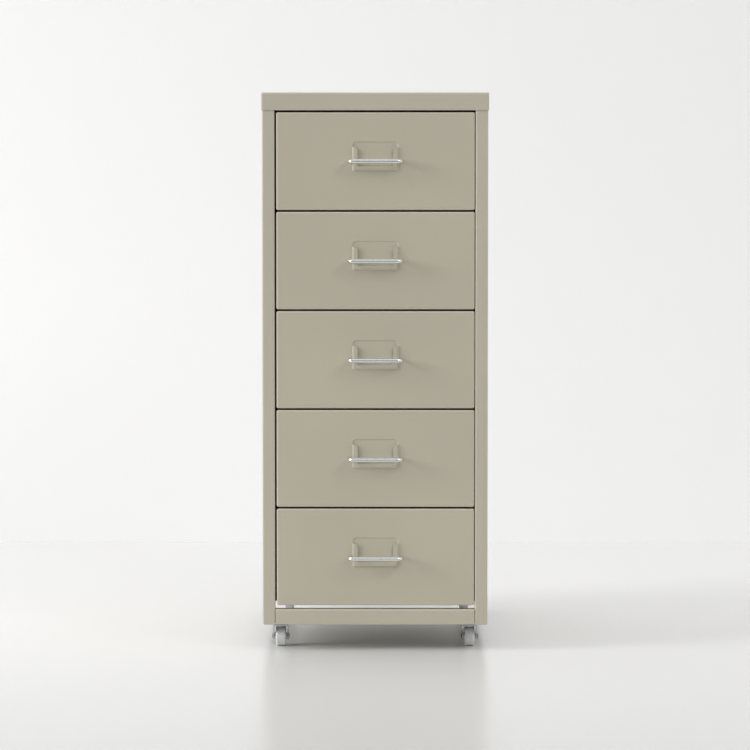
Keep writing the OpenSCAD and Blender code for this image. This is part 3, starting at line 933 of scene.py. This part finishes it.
for corner in CASTERS:
    axle_rivet(corner)
    threaded_stem(corner)

# %% [markdown]
# ## Nuts and washers
#
# Above each foot sit a washer and a chamfered hexagon nut. Each is a closed loop round the
# stem. The nut's corners are cut by a cone, so its radius is the smaller of the hexagon and the
# cone.

# %% Nuts and washers
def stem_nuts():
    """A washer and a nut round each stem. A nut's radius is the least of hexagon and cone."""
    low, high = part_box("caster_nuts")
    surface = Surface()
    for corner in CASTERS:
        x, y = middle(*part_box(f"caster_stem_{corner}"))[:2]
        washer = np.array([[4.3, 0.1], [4.5, 0], [7.8, 0], [8, 0.15],
                           [8, 1.05], [7.8, 1.2], [4.5, 1.2], [4.3, 1.1]])
        turned(surface, washer[:, 0] * MM, low.z + washer[:, 1] * MM, "z", (x, y, 0), looped=True)
        hexed = hexagon(HEX_HALF)
        bore = np.full(len(ROUND), 4.05 * MM)
        sheared = np.minimum(hexed, 6.7 * MM)
        radius = np.stack([bore, bore * 1.15, sheared, np.minimum(hexed, 7.3 * MM), hexed * 0.999,
                           hexed * 0.999, np.minimum(hexed, 7.3 * MM), sheared, bore * 1.15, bore])
        base = low.z + 1.2 * MM
        height = high.z - base
        along = base + height * np.array([0.08, 0, 0, 0.03, 0.1, 0.9, 0.97, 1, 1, 0.92])
        turned(surface, radius, along, "z", (x, y, 0), looped=True)
    make_piece("stem_nuts", surface, fastener_zinc, "cabinet", ["caster_nuts"], sharp=28)


stem_nuts()

# %% [markdown]
# ## Pan-head screws
#
# A pan head is a low dome with a cross recess. On a grid of angles and radii the dome's height
# is h (1 - (r/R)^4), and the recess takes away a depth wherever the point lies within one of
# the two arms. The shank carries a sheet-metal thread and ends in a point.

# %% Pan-head screws
def pan_head(surface, seat, outward, head_r, head_h, shank_r, length, pitch):
    """A screw whose head stands outward from its seat, along -Y, +Y, -X or +X."""
    share = np.array([0.04, 0.12, 0.2, 0.28, 0.36, 0.44, 0.52, 0.6, 0.68, 0.78, 0.88, 0.95, 1.0, 1.0])
    radius = np.repeat(head_r * share[:, None], len(ROUND), axis=1)
    arm_x, arm_y = np.abs(radius * np.cos(ROUND)), np.abs(radius * np.sin(ROUND))
    arm = np.clip((0.19 * head_r - np.minimum(arm_x, arm_y)) / (0.08 * head_r), 0, 1)
    reach = np.clip((0.62 * head_r - np.maximum(arm_x, arm_y)) / (0.25 * head_r), 0, 1)
    height = head_h * (1 - 0.45 * share[:, None] ** 4) - 0.55 * head_h * smooth_step(arm) * smooth_step(reach)
    height[-1] = 0
    shank = np.arange(0, length - 1.5 * MM, pitch / 8)
    tip_radius, tip_height = np.full((1, len(ROUND)), 0.1 * MM), np.full((1, len(ROUND)), -length)
    radius = np.concatenate([radius, thread(shank_r, 0.3 * shank_r, pitch, shank), tip_radius])
    height = np.concatenate([height, np.repeat(-shank[:, None], len(ROUND), axis=1), tip_height])
    axis = 0 if abs(outward[0]) > 0.5 else 1
    sign = outward[axis]
    points = np.empty((*radius.shape, 3))
    points[..., axis] = sign * height
    points[..., 1 - axis] = radius * np.cos(ROUND)
    points[..., 2] = radius * np.sin(ROUND)
    surface.grid(points + np.array(seat), closed=True, cap_first=True, cap_last=True,
                 flip=(sign > 0) == (axis == 0))


def body_screws():
    """The screws of the back, in two columns, and the two that hold the front rail."""
    low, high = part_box("back_screws")
    head_r, head_h = 4 * MM, 2.4 * MM
    shank = (2 * MM, 9 * MM, 1.4 * MM)             # radius, length and pitch
    panel_z = (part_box("rear_rail")[0].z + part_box("rear_rail")[1].z) / 2
    rail_top = rail_high.z
    heights = [panel_z, (rail_top + cap_low.z) / 2, cap_low.z - 28 * MM, (cap_low.z + cap_high.z) / 2]
    surface = Surface()
    for x in (low.x + head_r, high.x - head_r):
        for z in heights:
            y = cap_high.y if z > cap_low.z else side_high.y
            pan_head(surface, (x, y, z), (0, 1, 0), head_r, head_h, *shank)
    make_piece("rear_screws", surface, fastener_zinc, "cabinet", ["back_screws"], sharp=35)
    low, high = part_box("rail_screws")
    surface = Surface()
    for x, inward in ((low.x + 9 * MM, 1), (high.x - 9 * MM, -1)):
        seat = (x, (low.y + high.y) / 2, (low.z + high.z) / 2)
        pan_head(surface, seat, (inward, 0, 0), head_r, head_h, *shank)
    make_piece("front_rail_screws", surface, fastener_zinc, "cabinet",
               ["rail_screws"], sharp=35)


def pull_screws(number):
    """The two screws that hold a pull from behind, with a finer thread."""
    low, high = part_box(f"pull_screws_{number}")
    head_r, head_h = (high.z - low.z) / 2, 1.9 * MM
    surface = Surface()
    for x in (low.x + head_r, high.x - head_r):
        seat = (x, high.y - head_h, (low.z + high.z) / 2)
        pan_head(surface, seat, (0, 1, 0), head_r, head_h, 1.5 * MM, high.y - head_h - low.y, 0.7 * MM)
    make_piece(f"pull_fixings_{number}", surface, fastener_zinc, f"drawer_{number}",
               [f"pull_screws_{number}"], sharp=35)


body_screws()
for number in DRAWERS:
    pull_screws(number)

# %% [markdown]
# ## Carried-over nodes
#
# The trays, drawer backs, runners and the back panel are right as the frame has them. They only
# need their finish.

# %% Carried-over nodes
for name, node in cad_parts.items():
    if not node.hide_render:
        node.data.materials.clear()
        node.data.materials.append(drawer_paint if name.startswith("drawer") else body_paint)
        print("kept from the frame:", name)

# %% [markdown]
# ## Room
#
# The room is a pale wall and a pale lacquered floor. At the camera's low angle the floor
# mirrors the cabinet softly, and it carries light in under the cabinet from behind, which is
# why the rear of that shadow is lighter than its front. Towards the camera the floor's colour
# is darkened, a painted shade on the near floor. Both sheets are clear from the back, so the
# cabinet can be seen from all round.

# %% Room
WALL_Y = front_y + 1.24
FLOOR_Y = front_y - 2.2                            # front edge of the floor
ROOM_HALF = 7
WALL_HEIGHT = 6


def pale_sheet(name, corners, colour, near_colour, rough, specular):
    """A flat four-cornered sheet whose colour goes from near_colour to colour along Y; a darker near_colour
    paints shade near the camera.
    """
    material, shader = new_material(name)
    place = add_node(material, "ShaderNodeTexCoord").outputs["Object"]
    along = add_node(material, "ShaderNodeSeparateXYZ", Vector=place).outputs["Y"]
    share = ranged(material, along, 0.0, 1.0, front_y - 0.7, front_y + 0.3)
    tint = mixed(material, share, near_colour, colour)
    material.node_tree.links.new(tint, shader.inputs["Base Color"])
    shader.inputs["Roughness"].default_value = rough
    shader.inputs["Specular IOR Level"].default_value = specular
    behind = add_node(material, "ShaderNodeNewGeometry").outputs["Backfacing"]
    clear = add_node(material, "ShaderNodeBsdfTransparent").outputs["BSDF"]
    one_sided = add_node(material, "ShaderNodeMixShader", _0=behind, _1=shader.outputs["BSDF"], _2=clear)
    output = material.node_tree.nodes["Material Output"]
    material.node_tree.links.new(one_sided.outputs["Shader"], output.inputs["Surface"])
    mesh = bpy.data.meshes.new(name)
    mesh.from_pydata(corners, [], [(0, 1, 2, 3)])
    mesh.materials.append(material)
    add_object(name, mesh)


foot_line = [(-ROOM_HALF, WALL_Y, 0), (ROOM_HALF, WALL_Y, 0)]
# The floor's second colour, used towards the camera, is darker: painted shade on the near floor.
pale_sheet("floor", [(-ROOM_HALF, FLOOR_Y, 0), (ROOM_HALF, FLOOR_Y, 0), *foot_line[::-1]],
           linear(231, 231, 230), linear(206, 206, 205), 0.26, 0.4)
pale_sheet("wall", [*foot_line, (ROOM_HALF, WALL_Y, WALL_HEIGHT), (-ROOM_HALF, WALL_Y, WALL_HEIGHT)],
           linear(246, 246, 246), linear(246, 246, 246), 0.9, 0.1)

# %% [markdown]
# ## Light
#
# A tall soft light stands at the left and throws a faint shadow to the right. The rest is the
# glow of a white studio all round. The studio is open behind the camera, where it is darker,
# and the bright plated pulls show that opening as a dark line along their middle.

# %% Light
WINDOW_POWER = 214
FILL_POWER = 9.5
GLOW = 0.93
OPENING_GLOW = 0.1


def soft_light(name, place, target, size, power):
    """A rectangular area light that looks from its place to its target."""
    data = bpy.data.lights.new(name, "AREA")
    data.shape = "RECTANGLE"
    data.size, data.size_y = size
    data.energy = power
    aim(add_object(name, data), Vector(place), Vector(target))


def studio_glow():
    """Strength = GLOW, but OPENING_GLOW where the direction looks forward and nearly level."""
    world = bpy.data.worlds.new("glow")
    world.use_nodes = True
    world.node_tree.nodes["Background"].inputs["Color"].default_value = (1, 1, 1, 1)
    direction = add_node(world, "ShaderNodeTexCoord").outputs["Generated"]
    parts = add_node(world, "ShaderNodeSeparateXYZ", Vector=direction)
    level = add_node(world, "ShaderNodeMath", _0=parts.outputs["Z"])
    level.operation = "ABSOLUTE"
    low = ranged(world, level.outputs[0], 1.0, 0.0, 0.25, 0.42)
    ahead = ranged(world, parts.outputs["Y"], 1.0, 0.0, -0.75, -0.45)
    both = add_node(world, "ShaderNodeMath", _0=low, _1=ahead)
    both.operation = "MULTIPLY"
    strength = ranged(world, both.outputs[0], GLOW, OPENING_GLOW, 0.0, 1.0)
    world.node_tree.links.new(strength, world.node_tree.nodes["Background"].inputs["Strength"])
    bpy.context.scene.world = world


soft_light("fill", (1.5, front_y - 1.6, 1.9), (0.1, front_y, 0.7), (0.8, 0.8), FILL_POWER)
soft_light("window", (-5.4, front_y - 1.6, 2.3), (0, front_y + 0.2, 0.4), (2.2, 2.5), WINDOW_POWER)
studio_glow()
